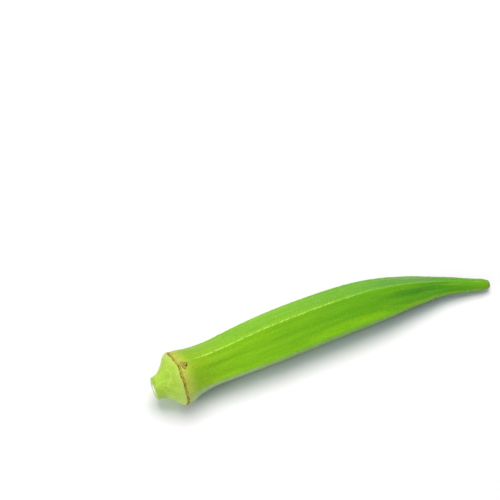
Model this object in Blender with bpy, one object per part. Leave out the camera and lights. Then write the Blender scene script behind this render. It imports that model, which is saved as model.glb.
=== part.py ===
"""An okra pod, as picked and cut, lying on its side.

Metres, +Z up. The pod's length runs along X, from the cut stem at -X to the tip of the beak at +X.
It lies on Z = 0 on one of its five flat sides, so one ridge is on top, and the beak curves towards -Y.
The origin is the middle of the pod's box, at the floor.
"""

import math

import bmesh
import bpy
import numpy as np

MM = 0.001

# Driving sizes, in millimetres. A distance is measured along the middle line from the cut stem.
LENGTH = 130.0
RIDGES = 5

# How far a ridge stands from the middle line at each distance.
GIRTH = (
    (0.0, 4.0),      # cut stem
    (2.5, 4.6),
    (5.0, 6.8),      # the cap flares out
    (7.0, 9.1),
    (8.5, 9.8),      # scar ring
    (11.0, 9.65),
    (14.0, 9.15),
    (19.5, 8.8),     # neck
    (28.5, 9.3),
    (40.0, 10.1),
    (55.0, 10.3),    # thickest
    (70.0, 10.0),
    (85.0, 9.2),
    (94.0, 7.8),
    (103.5, 5.9),
    (108.5, 4.65),
    (113.0, 3.8),    # beak
    (118.0, 3.15),
    (124.0, 2.45),
    (128.4, 1.85),
    (129.6, 1.3),
    (LENGTH, 0.5),   # blunt tip
)

# Where the middle line runs at each distance: sideways along Y, and its height.
MIDDLE_LINE = (
    (0.0, -0.95, 9.65),
    (10.0, -0.55, 9.65),
    (19.5, 0.0, 8.8),
    (30.0, 0.4, 8.25),
    (55.0, 0.95, 8.1),
    (70.0, 0.8, 8.0),
    (85.0, 0.25, 7.2),
    (94.0, -0.5, 6.6),
    (103.5, -1.5, 5.6),
    (113.0, -3.0, 4.5),
    (122.0, -5.5, 3.5),
    (LENGTH, -8.0, 2.9),
)
PRESSED = 0.25             # how deep the lowest skin is pressed flat by the pod's own weight

# The five-sided section. It grows out of the round cap and fades into the round tip.
FLATNESS = 0.92            # 0 is a round section, 1 has flat sides
FLAT_FROM, FLAT_BY = 6.0, 26.0
ROUND_FROM, ROUND_BY = 100.0, 136.0
RIDGE_SIZES = (1.0, 1.0, 0.95, 0.97, 0.98)   # from the top ridge, turning towards -Y
RIDGE_ROUNDING = 4.0       # degrees of turn over which a ridge's corner is rounded
BEAD_HEIGHT = 0.22         # the low rib along each ridge
BEAD_HALF_WIDTH = 4.0      # degrees of turn

# Facets: from one distance to the next, this many rings; and the turns of a side's points, in degrees.
RING_STEPS = ((0.0, 14.0, 9), (14.0, 30.0, 5), (30.0, 100.0, 16), (100.0, 128.0, 9), (128.0, LENGTH, 3))
SIDE_TURNS = (0.0, 4.0, 11.0, 22.0, 36.0, 50.0, 61.0, 68.0)

SKIN_GREEN = (0.21, 0.49, 0.013)   # linear, a fresh yellow-green
SKIN_ROUGHNESS = 0.5


def clear_scene():
    for thing in list(bpy.data.objects):
        bpy.data.objects.remove(thing, do_unlink=True)


def principled(name, colour, roughness):
    material = bpy.data.materials.new(name)
    material.use_nodes = True
    shader = material.node_tree.nodes["Principled BSDF"]
    shader.inputs["Base Color"].default_value = (*colour, 1.0)
    shader.inputs["Roughness"].default_value = roughness
    shader.inputs["Metallic"].default_value = 0.0
    return material


def read_table(table, distance, column=1):
    """A table's value at a distance, on a smooth curve through its points that adds no bumps."""
    rows = np.array(table)
    at, value = rows[:, 0], rows[:, column]
    slope = np.diff(value) / np.diff(at)
    before, after = np.append(slope[0], slope), np.append(slope, slope[-1])
    limit = 3.0 * np.minimum(abs(before), abs(after))
    lean = np.clip(np.gradient(value, at), -limit, limit) * (before * after > 0)
    i = np.clip(np.searchsorted(at, distance, side="right") - 1, 0, len(at) - 2)
    gap = at[i + 1] - at[i]
    t = (distance - at[i]) / gap
    blend = t * t * (3 - 2 * t)
    return (value[i] + (value[i + 1] - value[i]) * blend
            + gap * t * (1 - t) * ((1 - t) * lean[i] - t * lean[i + 1]))


def ramp(value, start, end):
    t = np.clip((value - start) / (end - start), 0.0, 1.0)
    return t * t * (3 - 2 * t)


def middle_line():
    """Points every millimetre along the middle line, and the line's direction at each."""
    distance = np.linspace(0.0, LENGTH, int(LENGTH) + 1)
    side = read_table(MIDDLE_LINE, distance, 1)
    height = read_table(MIDDLE_LINE, distance, 2) - PRESSED
    forward = np.sqrt(1.0 - np.gradient(side, distance) ** 2 - np.gradient(height, distance) ** 2)
    step = np.diff(distance) * (forward[1:] + forward[:-1]) / 2
    x = np.append(0.0, np.cumsum(step))
    points = np.column_stack((x - x[-1] / 2, side, height))
    heading = np.gradient(points, distance, axis=0)
    heading /= np.linalg.norm(heading, axis=1, keepdims=True)
    return distance, points, heading


def section_radius(distance, turn):
    """Radius of the skin, in millimetres. turn is in degrees from the top ridge, towards -Y."""
    side_angle = 360.0 / RIDGES
    flat = FLATNESS * ramp(distance, FLAT_FROM, FLAT_BY) * (1 - ramp(distance, ROUND_FROM, ROUND_BY))
    off_ridge = abs((turn + side_angle / 2) % side_angle - side_angle / 2)
    rounded = math.hypot(off_ridge, RIDGE_ROUNDING)
    side_shape = math.cos(math.radians(side_angle / 2)) / math.cos(math.radians(side_angle / 2 - rounded))
    size = np.interp(turn % 360.0 / side_angle, range(RIDGES + 1), (*RIDGE_SIZES, RIDGE_SIZES[0]))
    girth = read_table(GIRTH, distance) * (1 + (size - 1) * flat)
    bead = BEAD_HEIGHT * flat * math.exp(-((off_ridge / BEAD_HALF_WIDTH) ** 2))
    return girth * (1 - flat * (1 - side_shape)) + bead


def skin_point(line, distance, turn):
    """The point of the skin at a distance and a turn, in millimetres."""
    along, points, headings = line
    centre = np.array([np.interp(distance, along, points[:, axis]) for axis in range(3)])
    heading = np.array([np.interp(distance, along, headings[:, axis]) for axis in range(3)])
    heading /= np.linalg.norm(heading)
    upwards = np.array((0.0, 0.0, 1.0)) - heading * heading[2]
    upwards /= np.linalg.norm(upwards)
    sideways = np.cross(heading, upwards)
    angle = math.radians(turn)
    return centre + section_radius(distance, turn) * (math.cos(angle) * upwards + math.sin(angle) * sideways)


def ring_distances():
    distances = [0.0]
    for start, end, count in RING_STEPS:
        distances += [start + (end - start) * (i + 1) / count for i in range(count)]
    return distances


def ring_turns():
    return [side * 360.0 / RIDGES + turn for side in range(RIDGES) for turn in SIDE_TURNS]


def make_pod(name, collection):
    """A tube of unit size, subdivided into rings, with each of its points moved onto the skin."""
    distances, turns = ring_distances(), ring_turns()
    line = middle_line()
    bm = bmesh.new()
    bmesh.ops.create_cone(bm, cap_ends=True, segments=len(turns), radius1=1.0, radius2=1.0, depth=1.0)
    lengthwise = [e for e in bm.edges if abs(e.verts[0].co.z - e.verts[1].co.z) > 0.5]
    bmesh.ops.subdivide_edges(bm, edges=lengthwise, cuts=len(distances) - 2, use_grid_fill=True)
    for vertex in bm.verts:
        ring = round((vertex.co.z + 0.5) * (len(distances) - 1))
        place = round(math.atan2(vertex.co.x, vertex.co.y) / math.tau * len(turns)) % len(turns)
        vertex.co = skin_point(line, distances[ring], turns[place]) * MM
    press_flat(bm)
    centre_on_origin(bm)
    bmesh.ops.recalc_face_normals(bm, faces=bm.faces)
    mesh = bpy.data.meshes.new(name)
    bm.to_mesh(mesh)
    bm.free()
    mesh.shade_smooth()
    mesh.set_sharp_from_angle(angle=math.radians(40.0))
    pod = bpy.data.objects.new(name, mesh)
    collection.objects.link(pod)
    return pod


def press_flat(bm):
    """Cuts off what reaches below the floor and closes the cuts with flat faces."""
    everything = bm.verts[:] + bm.edges[:] + bm.faces[:]
    cut = bmesh.ops.bisect_plane(
        bm, geom=everything, dist=0.001 * MM, plane_co=(0, 0, 0), plane_no=(0, 0, -1), clear_outer=True)
    rim = [e for e in cut["geom_cut"] if isinstance(e, bmesh.types.BMEdge)]
    patches = bmesh.ops.holes_fill(bm, edges=rim, sides=0)["faces"]
    bmesh.ops.triangulate(bm, faces=patches, quad_method="BEAUTY", ngon_method="BEAUTY")


def centre_on_origin(bm):
    for axis in (0, 1):
        values = [v.co[axis] for v in bm.verts]
        middle = (min(values) + max(values)) / 2
        for vertex in bm.verts:
            vertex.co[axis] -= middle


def main():
    clear_scene()
    collection = bpy.data.collections.new("okra_pod")
    bpy.context.scene.collection.children.link(collection)
    pod = make_pod("okra_pod", collection)
    pod.data.materials.append(principled("pod_skin", SKIN_GREEN, SKIN_ROUGHNESS))


main()
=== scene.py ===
"""The looks of a fresh okra pod: downy green skin, corky calyx scar, cut stem, dry beak tip, fine hairs.

The pod's length runs along X, from the cut stem at -X to the beak at +X, and it lies on Z = 0.
Shapes are worked out in millimetres and turned to metres as they are placed.
A place on the pod is a distance along its middle line from the cut stem, and a turn about that line in
degrees from the top ridge towards -Y.
"""

import math
import random

import bmesh
import bpy
import numpy as np
from mathutils import Matrix, Vector, noise


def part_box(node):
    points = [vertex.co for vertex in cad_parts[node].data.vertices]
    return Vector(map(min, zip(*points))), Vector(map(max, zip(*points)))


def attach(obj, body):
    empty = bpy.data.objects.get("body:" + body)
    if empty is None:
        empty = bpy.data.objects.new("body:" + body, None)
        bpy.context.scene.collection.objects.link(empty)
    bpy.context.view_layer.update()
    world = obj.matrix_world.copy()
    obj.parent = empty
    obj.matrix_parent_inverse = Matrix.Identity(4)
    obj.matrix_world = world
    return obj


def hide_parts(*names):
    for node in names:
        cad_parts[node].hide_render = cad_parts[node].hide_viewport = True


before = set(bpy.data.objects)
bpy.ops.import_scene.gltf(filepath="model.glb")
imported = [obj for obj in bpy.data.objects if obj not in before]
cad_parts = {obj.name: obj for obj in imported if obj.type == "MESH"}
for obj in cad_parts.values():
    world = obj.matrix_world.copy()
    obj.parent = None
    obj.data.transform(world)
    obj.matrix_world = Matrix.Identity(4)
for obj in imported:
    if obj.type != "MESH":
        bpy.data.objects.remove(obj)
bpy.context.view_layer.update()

MM = 0.001
NODE = "okra_pod"

# The pod's form, the same as the solid's.
LENGTH = 130.0
RIDGES = 5
SIDE = 360.0 / RIDGES
# Distance, and the radius at the ridges.
GIRTH = (
    (0.0, 4.0), (2.5, 4.6), (5.0, 6.8), (7.0, 9.1), (8.5, 9.8), (11.0, 9.65), (14.0, 9.15), (19.5, 8.8),
    (28.5, 9.3), (40.0, 10.1), (55.0, 10.3), (70.0, 10.0), (85.0, 9.2), (94.0, 7.8), (103.5, 5.9),
    (108.5, 4.65), (113.0, 3.8), (118.0, 3.15), (124.0, 2.45), (128.4, 1.85), (129.6, 1.3), (LENGTH, 0.5),
)
# Distance, and the middle line's Y and Z.
MIDDLE_LINE = (
    (0.0, -0.95, 9.65), (10.0, -0.55, 9.65), (19.5, 0.0, 8.8), (30.0, 0.4, 8.25), (55.0, 0.95, 8.1),
    (70.0, 0.8, 8.0), (85.0, 0.25, 7.2), (94.0, -0.5, 6.6), (103.5, -1.5, 5.6), (113.0, -3.0, 4.5),
    (122.0, -5.5, 3.5), (LENGTH, -8.0, 2.9),
)
PRESSED = 0.25             # how far the belly is pressed into the floor, which flattens it
FLATNESS = 0.92            # of the sides between ridges: 1 is a full five-sided section
FLAT_FROM, FLAT_BY = 6.0, 26.0
ROUND_FROM, ROUND_BY = 100.0, 136.0
RIDGE_SIZES = (1.0, 1.0, 0.95, 0.97, 0.98)
RIDGE_ROUNDING = 4.0
BEAD_HEIGHT, BEAD_HALF_WIDTH = 0.22, 4.0

# Where the calyx fell off: a ring that stands further along the pod on top, and how far the cut slants.
SCAR_AT, SCAR_RADIUS = 8.35, 9.8
SCAR_SLANT, SCAR_BUMP, SCAR_WANDER = 0.4, 0.4, 0.14
CUT_SLANT, CUT_SLANT_TO, CUT_OUT = 0.28, 110.0, 0.3
# The fineness of the skin's mesh.
SKIN_RINGS = 520
SKIN_AROUND = 180
RING_SHARES = ((0.0, 0.0), (0.012, 0.3), (0.12, 12.0), (0.97, 127.6), (1.0, LENGTH))
RIDGE_CROWDING = 0.6       # how much closer the mesh's lines stand at a ridge
RIM_ROUNDING = 0.28        # the rounded edge of the cut stem


# ---------------------------------------------------------------- the pod's form

def read_table(table, distance, column=1):
    """A table's value at a distance, on a smooth curve through its points that adds no bumps."""
    rows = np.array(table)
    at, value = rows[:, 0], rows[:, column]
    slope = np.diff(value) / np.diff(at)
    before, after = np.append(slope[0], slope), np.append(slope, slope[-1])
    limit = 3.0 * np.minimum(abs(before), abs(after))
    lean = np.clip(np.gradient(value, at), -limit, limit) * (before * after > 0)
    i = np.clip(np.searchsorted(at, distance, side="right") - 1, 0, len(at) - 2)
    gap = at[i + 1] - at[i]
    t = (distance - at[i]) / gap
    blend = t * t * (3 - 2 * t)
    return (value[i] + (value[i + 1] - value[i]) * blend
            + gap * t * (1 - t) * ((1 - t) * lean[i] - t * lean[i + 1]))


def ramp(value, start, end):
    t = np.clip((value - start) / (end - start), 0.0, 1.0)
    return t * t * (3 - 2 * t)


def hump(value, middle, half_width):
    return np.exp(-(((value - middle) / half_width) ** 2))


def middle_line():
    """Points every millimetre along the middle line, and the line's direction at each."""
    distance = np.linspace(0.0, LENGTH, int(LENGTH) + 1)
    side = read_table(MIDDLE_LINE, distance, 1)
    height = read_table(MIDDLE_LINE, distance, 2) - PRESSED
    forward = np.sqrt(1.0 - np.gradient(side, distance) ** 2 - np.gradient(height, distance) ** 2)
    step = np.diff(distance) * (forward[1:] + forward[:-1]) / 2
    x = np.append(0.0, np.cumsum(step))
    points = np.column_stack((x - x[-1] / 2, side, height))
    return distance, points, np.gradient(points, distance, axis=0)


LINE = middle_line()


def unit(vectors):
    return vectors / np.linalg.norm(vectors, axis=-1, keepdims=True)


def axes_at(distance):
    """The middle line's point at each distance, and the directions along, up and towards -Y there."""
    along, points, headings = LINE
    centre = np.stack([np.interp(distance, along, points[:, i]) for i in range(3)], -1)
    heading = unit(np.stack([np.interp(distance, along, headings[:, i]) for i in range(3)], -1))
    upwards = unit(np.array((0.0, 0.0, 1.0)) - heading * heading[..., 2:])
    return centre, heading, upwards, np.cross(heading, upwards)


def off_ridge(turn):
    return np.abs((turn + SIDE / 2) % SIDE - SIDE / 2)


def flat_share(distance):
    """How five-sided the section is: 0 is round."""
    return FLATNESS * ramp(distance, FLAT_FROM, FLAT_BY) * (1 - ramp(distance, ROUND_FROM, ROUND_BY))


def plain_radius(distance, turn):
    """The solid's radius, with no fine relief."""
    flat = flat_share(distance)
    half = math.radians(SIDE / 2)
    rounded = np.radians(np.hypot(off_ridge(turn), RIDGE_ROUNDING))
    size = np.interp(turn % 360.0 / SIDE, range(RIDGES + 1), (*RIDGE_SIZES, RIDGE_SIZES[0]))
    girth = read_table(GIRTH, distance) * (1 + (size - 1) * flat)
    bead = BEAD_HEIGHT * flat * hump(off_ridge(turn), 0.0, BEAD_HALF_WIDTH)
    return girth * (1 - flat * (1 - math.cos(half) / np.cos(half - rounded))) + bead


def on_pod(distance, turn, radius, out=0.0):
    """Points in millimetres at these distances, turns and radii, moved out past the cut by so much."""
    centre, heading, upwards, sideways = axes_at(distance)
    angle = np.radians(turn)[..., None]
    slant = CUT_OUT + CUT_SLANT * radius / 4.0 * np.cos(np.radians(turn - CUT_SLANT_TO))
    slant = slant * (1 - ramp(distance, 0.0, 4.0))
    return (centre + radius[..., None] * (np.cos(angle) * upwards + np.sin(angle) * sideways)
            - np.asarray(slant + out)[..., None] * heading)


def straightened(distance, turn, radius):
    """The same places on a pod laid out straight, which the patterns follow."""
    angle = np.radians(turn)
    return np.stack((distance, radius * np.sin(angle), radius * np.cos(angle)), -1)


def rough(places, grain, seed):
    """Smooth noise, about -1 to 1, at these straightened places. grain is its mm along and across."""
    along, across = grain
    scale = np.array((1 / along, 1 / across, 1 / across))
    moved = places * scale + seed * 17.3
    values = np.array([noise.noise(Vector(p)) for p in moved.reshape(-1, 3)])
    return values.reshape(moved.shape[:-1]) * 1.6


def scar_line(turn):
    """Distance along the pod of the wavering line where the calyx fell off."""
    circle = straightened(np.zeros_like(turn), turn, np.full_like(turn, SCAR_RADIUS))
    from_top = (turn + 180.0) % 360.0 - 180.0
    return (SCAR_AT + SCAR_SLANT * np.cos(np.radians(turn + 20.0)) + SCAR_BUMP * hump(from_top, 3.0, 14.0)
            + SCAR_WANDER * rough(circle, (1.0, 3.2), 1) + 0.09 * rough(circle, (1.0, 0.9), 2))


def relief(distance, turn, radius):
    """Height of the skin's own unevenness over the plain form, in millimetres."""
    places = straightened(distance, turn, radius)
    flat = flat_share(distance)
    slim = np.clip(radius / 9.0, 0.15, 1.0)
    past_scar = distance - scar_line(turn)
    on_cap = 1 - ramp(past_scar, -0.6, 0.3)
    near_ridge = flat * hump(off_ridge(turn), 0.0, 2.2)
    swell = 0.13 * slim * rough(places, (15.0, 7.0), 3)
    cords = 0.07 * slim * rough(places, (26.0, 1.5), 4)
    grain = 0.022 * rough(places, (1.4, 0.7), 5)
    teeth = 0.16 * near_ridge * np.clip(rough(places, (0.75, 2.5), 6), 0, 1)
    seam = -0.10 * flat * hump(off_ridge(turn), SIDE / 2, 6.0)
    hollow = -0.5 * hump(distance, 101.0, 9.0) * hump(off_ridge(turn), SIDE / 2, 15.0)
    shoulders = -0.10 * flat * hump(off_ridge(turn), 9.5, 4.0)
    groove = -0.20 * hump(past_scar, 0.05, 0.32) + 0.14 * hump(past_scar, -0.75, 0.45)
    cap_pleats = 0.05 * on_cap * ramp(distance, 0.3, 2.5) * rough(places, (9.0, 1.1), 7)
    cap_grain = 0.035 * on_cap * rough(places, (0.9, 0.7), 8)
    return swell + cords + grain + teeth + seam + hollow + shoulders + groove + cap_pleats + cap_grain


def down_and_sheen(distance, turn):
    """How much fine down greys the skin, partly the down's own pale colour and partly a painted sheen of
    it: thick low on the front and behind the beak, thinner underneath, none on top.
    """
    turn = turn % 360.0
    soft = 14.0 * (1 - ramp(distance, 9.0, 14.0))
    front = ramp(turn, 70.5 - soft, 80.0 + soft) * (1 - ramp(turn, 136.0, 146.0))
    front = front * (1 - 0.3 * ramp(distance, 30.0, 60.0) - 0.35 * ramp(distance, 98.0, 114.0))
    under = 0.36 * ramp(turn, 142.0, 152.0) * (1 - ramp(turn, 276.0, 292.0))
    behind = hump(turn, 308.0, 11.0) * hump(distance, 101.0, 9.0)
    return (0.58 * front + under + 0.4 * behind) * (0.3 + 0.7 * ramp(distance, 7.5, 13.0))


def painted_shade_and_light(distance, turn):
    """Painted shade, a deeper green, in the hollow at the root of the beak, a painted shadow on the strip
    just behind the top ridge there, and painted light, a brighter green, on the side below.
    """
    turn = turn % 360.0
    # Painted shade in the beak's hollow, and a painted shadow on the strip behind the top ridge.
    hollow = (0.42 * hump(distance, 102.0, 12.0) * hump(turn, 26.0, 20.0)
              + 0.6 * ramp(distance, 72.0, 90.0) * (1 - ramp(distance, 104.0, 116.0))
              * hump(turn, 340.0, 15.0))
    # Painted light, a brighter green, on the lower front side.
    painted_light_below = hump(distance, 72.0, 22.0) * hump(turn, 60.0, 9.0)
    return hollow - painted_light_below


def rim_drop(distance):
    """How far the skin turns in over the rounded edge of the cut."""
    short = np.clip(RIM_ROUNDING - distance, 0, RIM_ROUNDING)
    return RIM_ROUNDING - np.sqrt(RIM_ROUNDING ** 2 - short ** 2)


def skin_radius(distance, turn):
    plain = plain_radius(distance, turn)
    fade = ramp(distance, 0.0, 0.5) * (1 - 0.6 * ramp(distance, LENGTH - 1.5, LENGTH))
    return plain - rim_drop(distance) + fade * relief(distance, turn, plain)


def shift_onto_solid():
    """The step that brings the worked-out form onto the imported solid's box."""
    distance, turn = np.meshgrid(np.linspace(0, LENGTH, 261), np.linspace(0, 360, 181))
    points = on_pod(distance, turn, plain_radius(distance, turn)).reshape(-1, 3)
    low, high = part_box(NODE)
    middle = (np.array(low) + np.array(high)) / (2 * MM)
    step = middle - (points.min(0) + points.max(0)) / 2
    step[2] = 0.0
    return step


SHIFT = shift_onto_solid()


def in_frame(points):
    """Millimetre points as metres in the frame, pressed flat where they would pass the floor."""
    placed = (points + SHIFT) * MM
    placed[..., 2] = np.maximum(placed[..., 2], 0.0)
    return placed


# ---------------------------------------------------------------- pieces

def coordinates(mesh):
    flat = np.zeros(len(mesh.vertices) * 3)
    mesh.vertices.foreach_get("co", flat)
    return flat.reshape(-1, 3)


def finish_piece(name, bm, points=None, material=None, places=None, tones=()):
    """Makes the object of a bmesh, moves its points into the frame, and keeps what its material reads."""
    mesh = bpy.data.meshes.new(name)
    bm.to_mesh(mesh)
    bm.free()
    if points is not None:
        mesh.vertices.foreach_set("co", in_frame(points).astype(np.float32).ravel())
    if places is not None:
        kept = mesh.attributes.new("straight", "FLOAT_VECTOR", "POINT")
        kept.data.foreach_set("vector", places.astype(np.float32).ravel())
    for tone, values in dict(tones).items():
        kept = mesh.attributes.new(tone, "FLOAT", "POINT")
        kept.data.foreach_set("value", values.astype(np.float32))
    turn_faces_out(mesh)
    mesh.shade_smooth()
    mesh.materials.append(material)
    piece = bpy.data.objects.new(name, mesh)
    bpy.context.scene.collection.objects.link(piece)
    return piece


def turn_faces_out(mesh):
    bm = bmesh.new()
    bm.from_mesh(mesh)
    bmesh.ops.recalc_face_normals(bm, faces=bm.faces)
    bm.to_mesh(mesh)
    bm.free()
    mesh.update()


# How clearly each ridge carries a pale line, and on the beak a tan one, from the top ridge towards -Y.
PALE_LINES = (1.0, 0.25, 0.6, 0.6, 0.7)
TAN_LINES = (0.05, 1.0, 0.6, 0.6, 0.15)


def nearest_ridge(turn):
    return np.round(turn / SIDE).astype(int) % RIDGES


def make_skin(material):
    """A unit tube subdivided into fine rings, with every point moved onto the pod's skin."""
    bm = bmesh.new()
    bmesh.ops.create_cone(bm, cap_ends=True, segments=SKIN_AROUND, radius1=1.0, radius2=1.0, depth=1.0)
    lengthwise = [e for e in bm.edges if abs(e.verts[0].co.z - e.verts[1].co.z) > 0.5]
    bmesh.ops.subdivide_edges(bm, edges=lengthwise, cuts=SKIN_RINGS - 2, use_grid_fill=True)
    tube = np.array([v.co for v in bm.verts])
    shares = np.array(RING_SHARES)
    distance = np.interp(tube[:, 2] + 0.5, shares[:, 0], shares[:, 1])
    even = np.arctan2(tube[:, 0], tube[:, 1])
    turn = np.degrees(even - RIDGE_CROWDING / RIDGES * np.sin(RIDGES * even)) % 360.0
    radius = skin_radius(distance, turn)
    pale_share = ramp(distance, 12.5, 17.0) * (1 - 0.9 * ramp(distance, 62.0, 90.0))
    return finish_piece(
        "pod_skin", bm, on_pod(distance, turn, radius), material, straightened(distance, turn, radius), {
            "off_ridge": np.radians(off_ridge(turn)) * radius,
            "off_tan": np.radians(off_ridge(turn + 4.0)) * radius,
            "mid_side": off_ridge(turn) / (SIDE / 2),
            "past_scar": distance - scar_line(turn),
            "pale_line": np.array(PALE_LINES)[nearest_ridge(turn)] * pale_share,
            "tan_line": np.array(TAN_LINES)[nearest_ridge(turn)] * ramp(distance, 88.0, 104.0),
            # Where down and a painted sheen of it grey the skin.
            "down_and_sheen": down_and_sheen(distance, turn),
            # Painted shade and light for the skin's material.
            "painted_shade_and_light": painted_shade_and_light(distance, turn),
        })


def make_scar_ring(material):
    """A thin corky band in the groove of the scar: a small loop spun round the pod, then roughened."""
    steps, loop_points, spun_radius = 420, 10, 10.0
    bm = bmesh.new()
    loop = bmesh.ops.create_circle(
        bm, segments=loop_points, radius=1.0,
        matrix=Matrix.Translation((0, 0, spun_radius)) @ Matrix.Rotation(math.pi / 2, 4, "X"))
    bmesh.ops.spin(
        bm, geom=loop["verts"] + bm.edges[:], cent=(0, 0, 0), axis=(1, 0, 0),
        angle=math.tau, steps=steps, use_merge=True)
    spun = np.array([v.co for v in bm.verts])
    turn = np.degrees(np.arctan2(spun[:, 1], spun[:, 2])) % 360.0
    across, height = spun[:, 0], np.hypot(spun[:, 1], spun[:, 2]) - spun_radius
    circle = straightened(np.zeros_like(turn), turn, np.full_like(turn, SCAR_RADIUS))
    from_top = (turn + 180.0) % 360.0 - 180.0
    half_width = (0.44 + 0.14 * hump(from_top, -8.0, 18.0)
                  + 0.14 * rough(circle, (1.0, 1.3), 11) + 0.10 * rough(circle, (1.0, 0.45), 12))
    half_width = np.clip(half_width, 0.16, 0.75)
    distance = scar_line(turn) + across * half_width + 0.07 * rough(circle, (1.0, 0.5), 13)
    ground = skin_radius(distance, turn)
    places = straightened(distance, turn, ground)
    crumbs = 0.07 * rough(places + across[:, None], (0.3, 0.35), 14)
    radius = ground + 0.02 + height * (0.08 + 0.2 * half_width) + crumbs * (height > 0)
    crack = hump(across, -0.75, 0.42) + 0.35 * hump(across, 1.0, 0.25)
    return finish_piece(
        "calyx_scar", bm, on_pod(distance, turn, radius), material, places, {"edge": crack})


def make_scab(name, material, centre, size, seed):
    """A dry flake on the skin: a round lens with a lobed outline, laid over the pod at a place."""
    bm = bmesh.new()
    bmesh.ops.create_uvsphere(bm, u_segments=72, v_segments=28, radius=1.0)
    lens = np.array([v.co for v in bm.verts])
    out, angle = np.hypot(lens[:, 0], lens[:, 1]), np.arctan2(lens[:, 1], lens[:, 0])
    edge = np.stack((np.cos(angle), np.sin(angle), np.zeros_like(angle)), -1)
    outline = 1 + 0.26 * np.cos(3 * angle + 0.4) + 0.16 * rough(edge, (0.5, 0.5), seed)
    along, around = size
    girth = float(plain_radius(np.array(centre[0]), np.array(centre[1])))
    distance = centre[0] + along * out * outline * np.cos(angle)
    turn = centre[1] + np.degrees(around * out * outline * np.sin(angle) / girth)
    ground = skin_radius(distance, turn)
    places = straightened(distance, turn, ground)
    crust = 0.06 * rough(places, (0.45, 0.45), seed + 1) + 0.04 * hump(out, 0.8, 0.15)
    top, bottom = 0.07 * lens[:, 2] + crust * (1 - out ** 6), 0.15 * lens[:, 2]
    radius = ground + np.where(lens[:, 2] > 0, top, bottom)
    return finish_piece(
        name, bm, on_pod(distance, turn, radius), material, places, {"edge": hump(out, 0.95, 0.16)})


def make_cut_face(material):
    """The knife's cut across the stem: a lens whose outer face has pith, a ring of strands and a rim."""
    radius_here, buried = 3.74, 0.5
    pith_edge, strand_ring, rim_from = 1.9, 2.35, 3.2
    bm = bmesh.new()
    bmesh.ops.create_uvsphere(bm, u_segments=128, v_segments=64, radius=1.0)
    lens = np.array([v.co for v in bm.verts])
    out = np.hypot(lens[:, 0], lens[:, 1]) * radius_here
    angle = np.degrees(np.arctan2(lens[:, 1], lens[:, 0]))
    flat_place = np.stack((np.zeros_like(out), lens[:, 0], lens[:, 1]), -1) * radius_here
    streaks = 0.05 * rough(flat_place, (1.0, 0.35), 21) * (out < pith_edge)
    pith = -0.10 * (1 - ramp(out, 1.1, pith_edge)) + streaks
    strands = 0.09 * hump(out, strand_ring, 0.3) * (1 + rough(flat_place, (1.0, 0.28), 22))
    drag = 0.04 * rough(flat_place * (1, 1, 0.15), (1.0, 0.3), 23)
    rim = -0.16 * ramp(out, rim_from, radius_here)
    face = 0.20 * np.minimum(lens[:, 2] * 8, 1) + pith + strands + drag + rim
    height = np.where(lens[:, 2] > 0, face, buried * lens[:, 2])
    points = on_pod(np.zeros_like(out), angle, out, 0.02 + height)
    return finish_piece("cut_stem_face", bm, points, material, flat_place)


def make_beak_tip(material):
    """The dry stub of the style at the end of the beak."""
    bm = bmesh.new()
    bmesh.ops.create_uvsphere(bm, u_segments=48, v_segments=32, radius=1.0)
    ball = np.array([v.co for v in bm.verts])
    lumps = 1 + 0.16 * rough(ball, (0.5, 0.5), 31)
    centre, heading, upwards, sideways = axes_at(np.full(len(ball), LENGTH - 0.55))
    reach, across = 0.62 * lumps * ball[:, 2], 0.95 * lumps
    points = (centre + reach[:, None] * heading
              + (across * ball[:, 0] - 0.3)[:, None] * upwards
              + (across * ball[:, 1] + 0.2)[:, None] * sideways)
    return finish_piece("beak_tip", bm, points, material, ball)


# Hairs, in millimetres and degrees.
HAIR_FOOT = 0.028          # the radius: about twice the real 0.03 mm across, or they would not show
HAIR_SUNK = 0.05           # how deep a hair starts in the skin
HAIR_SPREAD, HAIR_SWAY = 15, 0.22
ROOT_OFF_FLOOR, TIP_OFF_FLOOR = 0.1, 0.06
HAIR_BATCH = 50


def grow_hairs(name, material, places, lengths, lean, seed):
    """Stiff three-sided hairs at these (distance, turn) places, each a closed spike of its own."""
    dice = random.Random(seed)
    distance, turn = np.array(places).T
    roots = on_pod(distance, turn, skin_radius(distance, turn))
    here, ahead, beside = (
        on_pod(d, t, plain_radius(d, t))
        for d, t in ((distance, turn), (distance + 0.4, turn), (distance, turn + 0.4)))
    centre, heading, _, _ = axes_at(distance)
    outward = unit(np.cross(ahead - here, beside - here))
    outward *= np.sign(np.sum(outward * (roots - centre), axis=-1, keepdims=True))
    whole, batch = bmesh.new(), bmesh.new()
    for i, (root, out, forward) in enumerate(zip(in_frame(roots), outward, heading)):
        length = dice.uniform(*lengths)
        tilt = math.tan(math.radians(lean + dice.gauss(0, HAIR_SPREAD)))
        sway = Vector([dice.gauss(0, HAIR_SWAY) for _ in range(3)])
        direction = (Vector(out) + tilt * Vector(forward) + sway).normalized()
        foot = Vector(root) - direction * HAIR_SUNK * MM
        if foot.z + direction.z * length * MM < TIP_OFF_FLOOR * MM or root[2] < ROOT_OFF_FLOOR * MM:
            continue
        stand = direction.to_track_quat("Z", "Y").to_matrix().to_4x4()
        bmesh.ops.create_cone(
            batch, cap_ends=True, segments=3, radius1=HAIR_FOOT * MM * dice.uniform(0.8, 1.2), radius2=0,
            depth=length * MM, matrix=Matrix.Translation(foot + direction * length * MM / 2) @ stand)
        if i % HAIR_BATCH == HAIR_BATCH - 1:
            batch = pour(batch, whole)
    pour(batch, whole).free()
    return finish_piece(name, whole, material=material)


def pour(batch, whole):
    """Adds a small bmesh to the whole, which is quicker than growing a large one, and gives a new one."""
    mesh = bpy.data.meshes.new("batch")
    batch.to_mesh(mesh)
    batch.free()
    whole.from_mesh(mesh)
    bpy.data.meshes.remove(mesh)
    return bmesh.new()


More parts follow.
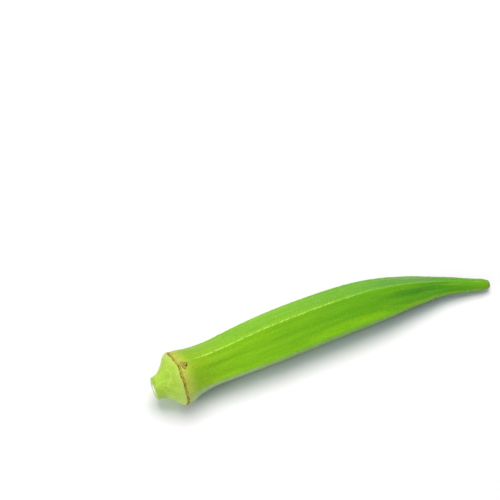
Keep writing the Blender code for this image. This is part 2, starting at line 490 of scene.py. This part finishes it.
def ridge_places(per_mm, seed):
    """Places close along each ridge, from just past the scar almost to the tip."""
    dice = random.Random(seed)
    start, end = 11, 126
    places = []
    for ridge in range(RIDGES):
        for _ in range(int((end - start) * per_mm)):
            distance = dice.uniform(start, end)
            places.append((distance, ridge * SIDE + dice.gauss(0, 1.6)))
    return places


def side_places(count, start, end, seed):
    """Places spread over the skin's area between two distances, thicker where the down and its painted
    sheen grey the skin most.
    """
    dice = np.random.default_rng(seed)
    distance, turn, chance = dice.uniform((start, 0, 0), (end, 360, 1), (count * 6, 3)).T
    thickness = (0.35 + 0.9 * down_and_sheen(distance, turn)) * read_table(GIRTH, distance) / 10.3
    grown = np.flatnonzero(chance < thickness)[:count]
    return list(zip(distance[grown].tolist(), turn[grown].tolist()))


# ---------------------------------------------------------------- materials

MIX_FACTOR, MIX_A, MIX_B, MIX_RESULT = 0, 6, 7, 2      # the colour sockets of a Mix node


def linear(hex_colour):
    """A linear colour from an sRGB hex value."""
    parts = [int(hex_colour[i:i + 2], 16) / 255 for i in (1, 3, 5)]
    return tuple(p / 12.92 if p <= 0.04045 else ((p + 0.055) / 1.055) ** 2.4 for p in parts) + (1.0,)


def node(tree, kind, settings=(), inputs=(), stops=()):
    """Adds a shader node with its settings, its inputs, set or linked, and a ramp's colour stops."""
    made = tree.nodes.new("ShaderNode" + kind)
    for name, value in dict(settings).items():
        setattr(made, name, value)
    for name, value in dict(inputs).items():
        if isinstance(value, bpy.types.NodeSocket):
            tree.links.new(value, made.inputs[name])
        else:
            made.inputs[name].default_value = value
    if stops:
        elements = made.color_ramp.elements
        while len(elements) < len(stops):
            elements.new(1.0)
        for element, (position, colour) in zip(elements, stops):
            element.position = position
            element.color = linear(colour) if isinstance(colour, str) else (colour, colour, colour, 1.0)
    return made


def amount(tree, *bands):
    """How strongly a layer shows: its bands multiplied.

    A band is a value as it is, or a value, the limits between which it goes smoothly from 0 to 1, and the
    numbers that it goes from and to instead.
    """
    product = None
    for value, *limits in bands:
        if limits:
            start, end, from_, to = (limits + [0.0, 1.0])[:4]
            value = node(tree, "MapRange", {"interpolation_type": "SMOOTHSTEP"}, {
                "Value": value, "From Min": start, "From Max": end,
                "To Min": from_, "To Max": to}).outputs["Result"]
        if product is not None:
            value = node(tree, "Math", {"operation": "MULTIPLY"}, {0: product, 1: value}).outputs["Value"]
        product = value
    return product


def tint(tree, body, colour, *bands):
    """Lays a colour over the body, as strongly as its bands say."""
    colour = linear(colour) if isinstance(colour, str) else colour
    inputs = {MIX_FACTOR: amount(tree, *bands), MIX_A: body, MIX_B: colour}
    return node(tree, "Mix", {"data_type": "RGBA"}, inputs).outputs[MIX_RESULT]


def new_material(name):
    material = bpy.data.materials.new(name)
    material.use_nodes = True
    return material, material.node_tree, material.node_tree.nodes["Principled BSDF"]


def set_shader(shader, values):
    for name, value in values.items():
        shader.inputs[name].default_value = value


def fresh_okra_skin():
    """Living okra skin, grown: waxy green, long pale streaks, a pale line on each ridge, hair roots."""
    material, tree, shader = new_material("fresh_okra_skin")
    straight = node(tree, "Attribute", {"attribute_name": "straight"}).outputs["Vector"]
    off_ridge, off_tan, mid_side, past_scar, painted_shade_light_share, pale_line, tan_line, downy = [
        node(tree, "Attribute", {"attribute_name": name}).outputs["Fac"] for name in (
            "off_ridge", "off_tan", "mid_side", "past_scar", "painted_shade_and_light", "pale_line", "tan_line", "down_and_sheen")]
    distance = node(tree, "SeparateXYZ", inputs={"Vector": straight}).outputs["X"]
    along = node(tree, "MapRange", inputs={"Value": distance, "From Max": LENGTH}).outputs["Result"]

    def blotches(grain_along, grain_across, detail=3.0, shift=0.0):
        """Noise with patches of this size in millimetres along and across the pod."""
        scale = (1 / grain_along, 1 / grain_across, 1 / grain_across)
        scaled = node(tree, "Mapping", inputs={
            "Vector": straight, "Scale": scale, "Location": (shift,) * 3})
        return node(tree, "TexNoise", inputs={
            "Vector": scaled.outputs["Vector"], "Scale": 1.0, "Detail": detail,
            "Roughness": 0.55}).outputs["Fac"]

    # Yellow-green at the stem, deeper green towards the beak, each colour at its distance in millimetres.
    greens = (
        (0, "#84B41A"), (8, "#8CBA1A"), (13, "#99C51C"), (20, "#96CA16"), (28, "#90CD10"),
        (38, "#8ACB10"), (50, "#83C50E"), (62, "#7BC00E"), (74, "#6FB80E"), (85, "#64B00E"),
        (93, "#58A412"), (100, "#549F17"), (107, "#519D1A"), (114, "#4FA010"), (120, "#56A210"),
        (125, "#66AE10"), (LENGTH, "#70AC14"))
    body = node(tree, "ValToRGB", inputs={"Fac": along}, stops=[
        (at / LENGTH, colour) for at, colour in greens]).outputs["Color"]
    # Soft strands under the skin, about 2 mm apart and several centimetres long.
    strands = blotches(26.0, 2.2)
    body = tint(tree, body, "#A6DA1C", (strands, 0.5, 0.7, 0.0, 0.22))
    body = tint(tree, body, "#4E9F10", (strands, 0.5, 0.32, 0.0, 0.24))
    # Broad uneven ripening, and a darker band down the middle of each side.
    body = tint(tree, body, "#6AB312", (blotches(13.0, 5.0, 2.0, 5.0), 0.42, 0.62, 0.0, 0.2))
    body = tint(tree, body, "#55A510", (mid_side, 0.35, 0.85, 0.0, 0.12))
    # Painted shade makes the hollow at the root of the beak and the strip behind the top ridge deeper
    # green, and painted light makes the side below brighter.
    patchy = blotches(5.0, 2.5, 3.0, 8.0)
    body = tint(tree, body, "#35922C", (painted_shade_light_share, 0.0, 1.0), (patchy, 0.3, 0.6, 0.25, 0.6))
    body = tint(tree, body, "#9CDC10", (painted_shade_light_share, 0.0, -1.0), (patchy, 0.3, 0.6, 0.3, 0.7))
    # Fine mottling of the skin's own cells, drawn at 0.5 mm, coarser than the real 0.1 mm.
    body = tint(tree, body, "#56A012", (blotches(0.6, 0.45, 2.0, 9.0), 0.42, 0.62, 0.0, 0.24))
    body = tint(tree, body, "#B4DC3A", (blotches(0.5, 0.4, 2.0, 10.0), 0.56, 0.7, 0.0, 0.22))

    # The cap: paler, yellower green with soft patches, and the yellow band past the scar.
    cap = tint(tree, linear("#A2CE38"), "#B6DB50", (blotches(2.6, 1.6, 3.0, 12.0), 0.38, 0.66))
    cap = tint(tree, cap, "#C4C84A", (blotches(0.8, 0.6, 3.0, 13.0), 0.45, 0.68, 0.0, 0.45))
    cap = tint(tree, cap, "#83B52A", (blotches(0.5, 0.4, 2.0, 14.0), 0.5, 0.7, 0.0, 0.35))
    cap = tint(tree, cap, "#C2DD62", (past_scar, -3.2, -0.6, 0.0, 0.6))
    body = tint(tree, body, cap, (past_scar, 0.3, -0.4))
    body = tint(tree, body, "#D0DA58", (past_scar, 5.5, -0.5), (past_scar, -0.6, 0.1),
                (blotches(2.0, 1.8, 3.0, 15.0), 0.3, 0.7, 0.55, 1.0))
    body = tint(tree, body, "#C49C48", (past_scar, 2.4, 0.4), (past_scar, 0.0, 0.2),
                (blotches(1.3, 1.7, 3.0, 17.0), 0.5, 0.64, 0.0, 0.5))

    # Each ridge: a soft painted highlight, a thin pale broken line by the stem, and on the beak a tan one
    # that comes and goes.
    body = tint(tree, body, "#82D010", (off_ridge, 1.6, 0.2), (distance, 60.0, 90.0, 0.15, 0.36),
                (distance, 118.0, 98.0, 0.3, 1.0))
    body = tint(tree, body, "#CDF05C", (off_ridge, 0.36, 0.02),
                (blotches(1.1, 3.0, 3.0, 20.0), 0.4, 0.56, 0.12, 1.0), (pale_line,))
    wander = amount(tree, (blotches(4.0, 0.6, 2.0, 25.0), 0.3, 0.7, -0.35, 0.35))
    beside = node(tree, "Math", {"operation": "ADD"}, {0: off_tan, 1: wander}).outputs["Value"]
    body = tint(tree, body, "#A2963A", (beside, 0.34, 0.08, 0.0, 0.62), (tan_line,),
                (blotches(1.4, 1.2, 3.0, 27.0), 0.42, 0.58))
    # Down, and a painted sheen of it, greys the low and hidden sides.
    greys = node(tree, "ValToRGB", inputs={"Fac": along}, stops=(
        (0.0, "#C8DCA8"), (0.23, "#C4D8A6"), (0.4, "#AABC90"), (1.0, "#9EB082"))).outputs["Color"]
    body = tint(tree, body, greys, (downy,), (blotches(0.9, 0.6, 2.0, 33.0), 0.3, 0.7, 0.75, 1.15))

    # Hair roots: pale dots 0.2 mm across and about 1 mm apart, only some of them showing.
    cells = node(tree, "TexVoronoi", {"feature": "F1"}, {
        "Vector": straight, "Scale": 0.95, "Randomness": 1.0})
    chosen = node(tree, "SeparateColor", inputs={"Color": cells.outputs["Color"]}).outputs["Red"]
    dots = amount(tree, (cells.outputs["Distance"], 0.17, 0.09), (chosen, 0.5, 0.65, 0.0, 0.4))
    body = tint(tree, body, "#C0DD62", (dots,))
    # A few small rusty bruises, most of them by the stem.
    body = tint(tree, body, "#A8802C", (blotches(0.9, 0.7, 2.0, 30.0), 0.64, 0.72),
                (distance, 45.0, 2.0, 0.12, 0.7))
    # The very end of the beak dries to brown, and the knife's edge at the stem dries darker.
    body = tint(tree, body, "#86782A", (distance, 128.9, 129.8, 0.0, 0.6))
    body = tint(tree, body, "#7E9B2C", (distance, 0.4, 0.05, 0.0, 0.3))

    height = blotches(0.45, 0.35, 3.0, 40.0)
    for raised, much in ((strands, 0.7), (dots, 2.0)):
        height = node(tree, "Math", {"operation": "MULTIPLY_ADD"}, {
            0: raised, 1: much, 2: height}).outputs["Value"]
    bump = node(tree, "Bump", inputs={"Strength": 0.5, "Distance": 0.07 * MM, "Height": height})
    roughness = amount(tree, (blotches(1.1, 0.8, 2.0, 50.0), 0.3, 0.7, 0.42, 0.6))
    set_shader(shader, {
        "IOR": 1.42, "Specular IOR Level": 0.2, "Subsurface Weight": 0.16,
        "Subsurface Radius": (0.6, 1.0, 0.15), "Subsurface Scale": 0.0016,
        "Sheen Weight": 0.08, "Sheen Roughness": 0.3, "Sheen Tint": linear("#F4F8EC")})
    tree.links.new(body, shader.inputs["Base Color"])
    tree.links.new(roughness, shader.inputs["Roughness"])
    tree.links.new(bump.outputs["Normal"], shader.inputs["Normal"])
    return material


def corky_scar(name, palest, pale, brown, dark):
    """Cork that healed over a wound, dried: matt tan with nearly black crumbs about 0.5 mm across."""
    material, tree, shader = new_material(name)
    straight = node(tree, "Attribute", {"attribute_name": "straight"}).outputs["Vector"]
    crumbs = node(tree, "TexNoise", inputs={
        "Vector": straight, "Scale": 1.9, "Detail": 4.0, "Roughness": 0.65})
    patches = node(tree, "TexNoise", inputs={"Vector": straight, "Scale": 0.55, "Detail": 2.0})
    edge = node(tree, "Attribute", {"attribute_name": "edge"}).outputs["Fac"]
    tone = crumbs.outputs["Fac"]
    for value, much in ((edge, -0.16), (patches.outputs["Fac"], 0.7)):
        tone = node(tree, "Math", {"operation": "MULTIPLY_ADD"}, {
            0: value, 1: much, 2: tone}).outputs["Value"]
    colour = node(tree, "ValToRGB", inputs={"Fac": tone}, stops=(
        (0.61, dark), (0.665, brown), (0.75, pale), (0.92, palest))).outputs["Color"]
    bump = node(tree, "Bump", inputs={
        "Strength": 0.9, "Distance": 0.12 * MM, "Height": crumbs.outputs["Fac"]})
    set_shader(shader, {"Roughness": 0.82, "IOR": 1.4, "Specular IOR Level": 0.12})
    tree.links.new(colour, shader.inputs["Base Color"])
    tree.links.new(bump.outputs["Normal"], shader.inputs["Normal"])
    return material


def cut_okra_stem():
    """Green stem, sliced with a knife: wet white pith, a ring of pale strands, and a green rim."""
    material, tree, shader = new_material("cut_okra_stem")
    straight = node(tree, "Attribute", {"attribute_name": "straight"}).outputs["Vector"]
    out = node(tree, "VectorMath", {"operation": "LENGTH"}, {0: straight}).outputs["Value"]
    grain = node(tree, "TexNoise", inputs={"Vector": straight, "Scale": 3.2, "Detail": 3.0})
    uneven = node(tree, "Math", {"operation": "MULTIPLY_ADD"}, {0: grain.outputs["Fac"], 1: 1.2, 2: out})
    across = node(tree, "MapRange", inputs={
        "Value": uneven.outputs["Value"], "From Min": 0.6, "From Max": 4.35})
    colour = node(tree, "ValToRGB", inputs={"Fac": across.outputs["Result"]}, stops=(
        (0.0, "#F2F6DE"), (0.3, "#F6FAE4"), (0.46, "#BCD87C"), (0.6, "#AACE64"), (0.69, "#B6D67A"),
        (0.8, "#A0C850"), (0.93, "#8EBC3A"), (1.0, "#AED06C"))).outputs["Color"]
    bump = node(tree, "Bump", inputs={
        "Strength": 0.6, "Distance": 0.1 * MM, "Height": grain.outputs["Fac"]})
    set_shader(shader, {
        "Roughness": 0.3, "IOR": 1.36, "Subsurface Weight": 0.3, "Subsurface Radius": (1.0, 1.0, 0.6),
        "Subsurface Scale": 0.0012})
    tree.links.new(colour, shader.inputs["Base Color"])
    tree.links.new(bump.outputs["Normal"], shader.inputs["Normal"])
    return material


def okra_down():
    """Plant hair, grown: stiff, clear and pale, some hairs greener than others, so it glints."""
    material, tree, shader = new_material("okra_down")
    where = node(tree, "TexCoord").outputs["Object"]
    tones = node(tree, "TexNoise", inputs={"Vector": where, "Scale": 900.0, "Detail": 1.0})
    colour = node(tree, "ValToRGB", inputs={"Fac": tones.outputs["Fac"]}, stops=(
        (0.35, "#B2D04E"), (0.65, "#E6F0C0"))).outputs["Color"]
    set_shader(shader, {"Roughness": 0.4, "IOR": 1.45, "Specular IOR Level": 0.4})
    tree.links.new(colour, shader.inputs["Base Color"])
    return material


def white_sweep():
    """Matt white paper sweep, smooth: it goes nearly white under the lamps and shows only the shadow."""
    material, tree, shader = new_material("white_sweep")
    where = node(tree, "TexCoord").outputs["Object"]
    fibres = node(tree, "TexNoise", inputs={"Vector": where, "Scale": 40.0, "Detail": 2.0})
    colour = node(tree, "ValToRGB", inputs={"Fac": fibres.outputs["Fac"]}, stops=(
        (0.3, "#F8F8F8"), (0.7, "#FBFBFB"))).outputs["Color"]
    set_shader(shader, {"Roughness": 0.9, "Specular IOR Level": 0.1})
    tree.links.new(colour, shader.inputs["Base Color"])
    return material


# ---------------------------------------------------------------- studio

CAMERA_AZIMUTH, CAMERA_ELEVATION = -24.3, 57.5
CAMERA_AWAY = 0.711
CAMERA_AIM = (-0.00815, 0.0429, 0.0)
CAMERA_HALF_ANGLE = 7.4
SENSOR = 36.0
FILL_COLOUR, FILL_STRENGTH = "#C4C8FA", 0.34       # bluish, which keeps the shadow grey beside green skin
FLOOR_RADIUS, FLOOR_GAP = 6.0, 0.02 * MM


def direction_from(azimuth, elevation):
    a, e = math.radians(azimuth), math.radians(elevation)
    return Vector((math.sin(a) * math.cos(e), -math.cos(a) * math.cos(e), math.sin(e)))


def make_camera():
    data = bpy.data.cameras.new("camera")
    data.sensor_width = SENSOR
    data.lens = SENSOR / 2 / math.tan(math.radians(CAMERA_HALF_ANGLE))
    data.clip_start, data.clip_end = 0.01, 20.0
    camera = bpy.data.objects.new("camera", data)
    back = direction_from(CAMERA_AZIMUTH, CAMERA_ELEVATION)
    camera.location = Vector(CAMERA_AIM) + back * CAMERA_AWAY
    camera.rotation_euler = (-back).to_track_quat("-Z", "Y").to_euler()
    bpy.context.scene.collection.objects.link(camera)
    bpy.context.scene.camera = camera


def make_softbox(name, azimuth, elevation, away, size, power, colour):
    data = bpy.data.lights.new(name, "AREA")
    data.shape = "SQUARE"
    data.size = size
    data.energy = power
    data.color = linear(colour)[:3]
    lamp = bpy.data.objects.new(name, data)
    back = direction_from(azimuth, elevation)
    lamp.location = back * away
    lamp.rotation_euler = (-back).to_track_quat("-Z", "Y").to_euler()
    bpy.context.scene.collection.objects.link(lamp)


def make_world():
    world = bpy.data.worlds.new("studio")
    world.use_nodes = True
    background = world.node_tree.nodes["Background"]
    background.inputs["Color"].default_value = linear(FILL_COLOUR)
    background.inputs["Strength"].default_value = FILL_STRENGTH
    bpy.context.scene.world = world
    bpy.context.scene.view_settings.view_transform = "Standard"


def make_floor(material):
    bm = bmesh.new()
    bmesh.ops.create_circle(bm, cap_ends=True, segments=96, radius=FLOOR_RADIUS)
    mesh = bpy.data.meshes.new("floor")
    bm.to_mesh(mesh)
    bm.free()
    mesh.transform(Matrix.Translation((0, 0, -FLOOR_GAP)))
    mesh.materials.append(material)
    floor = bpy.data.objects.new("floor", mesh)
    bpy.context.scene.collection.objects.link(floor)


# ---------------------------------------------------------------- putting it together

def place(piece):
    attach(piece, "root")
    return piece


make_camera()
make_world()
make_floor(white_sweep())
make_softbox("key_softbox", azimuth=160, elevation=76, away=1.2, size=0.95, power=14.2, colour="#FFFAF0")
make_softbox("front_softbox", azimuth=-60, elevation=45, away=1.1, size=0.9, power=1.6, colour="#FFFCF6")
make_softbox("stem_softbox", azimuth=-85, elevation=18, away=0.7, size=0.35, power=1.2, colour="#FFFFFF")

scab = corky_scar("dry_brown_scab", "#B6A64A", "#9C8838", "#7C6026", "#38260F")
cork = corky_scar("corky_calyx_scar", "#C2B254", "#A6983A", "#7C6224", "#1F140A")
dry_tip = corky_scar("dry_style_stub", "#94852F", "#8A7A2C", "#6A5020", "#3B2A12")
down = okra_down()

skin = place(make_skin(fresh_okra_skin()))
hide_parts(NODE)
place(make_scar_ring(cork))
place(make_scab("calyx_scab", scab, centre=(10.75, 5.5), size=(0.9, 1.35), seed=41))
place(make_cut_face(cut_okra_stem()))
place(make_beak_tip(dry_tip))
place(grow_hairs(
    "ridge_hairs", down, ridge_places(per_mm=6.0, seed=51),
    lengths=(0.3, 0.55), lean=22, seed=52))
place(grow_hairs(
    "side_hairs", down, side_places(20000, start=9.5, end=127.0, seed=53),
    lengths=(0.22, 0.5), lean=18, seed=54))
place(grow_hairs(
    "cap_hairs", down, side_places(900, start=0.6, end=7.6, seed=55),
    lengths=(0.18, 0.35), lean=18, seed=56))
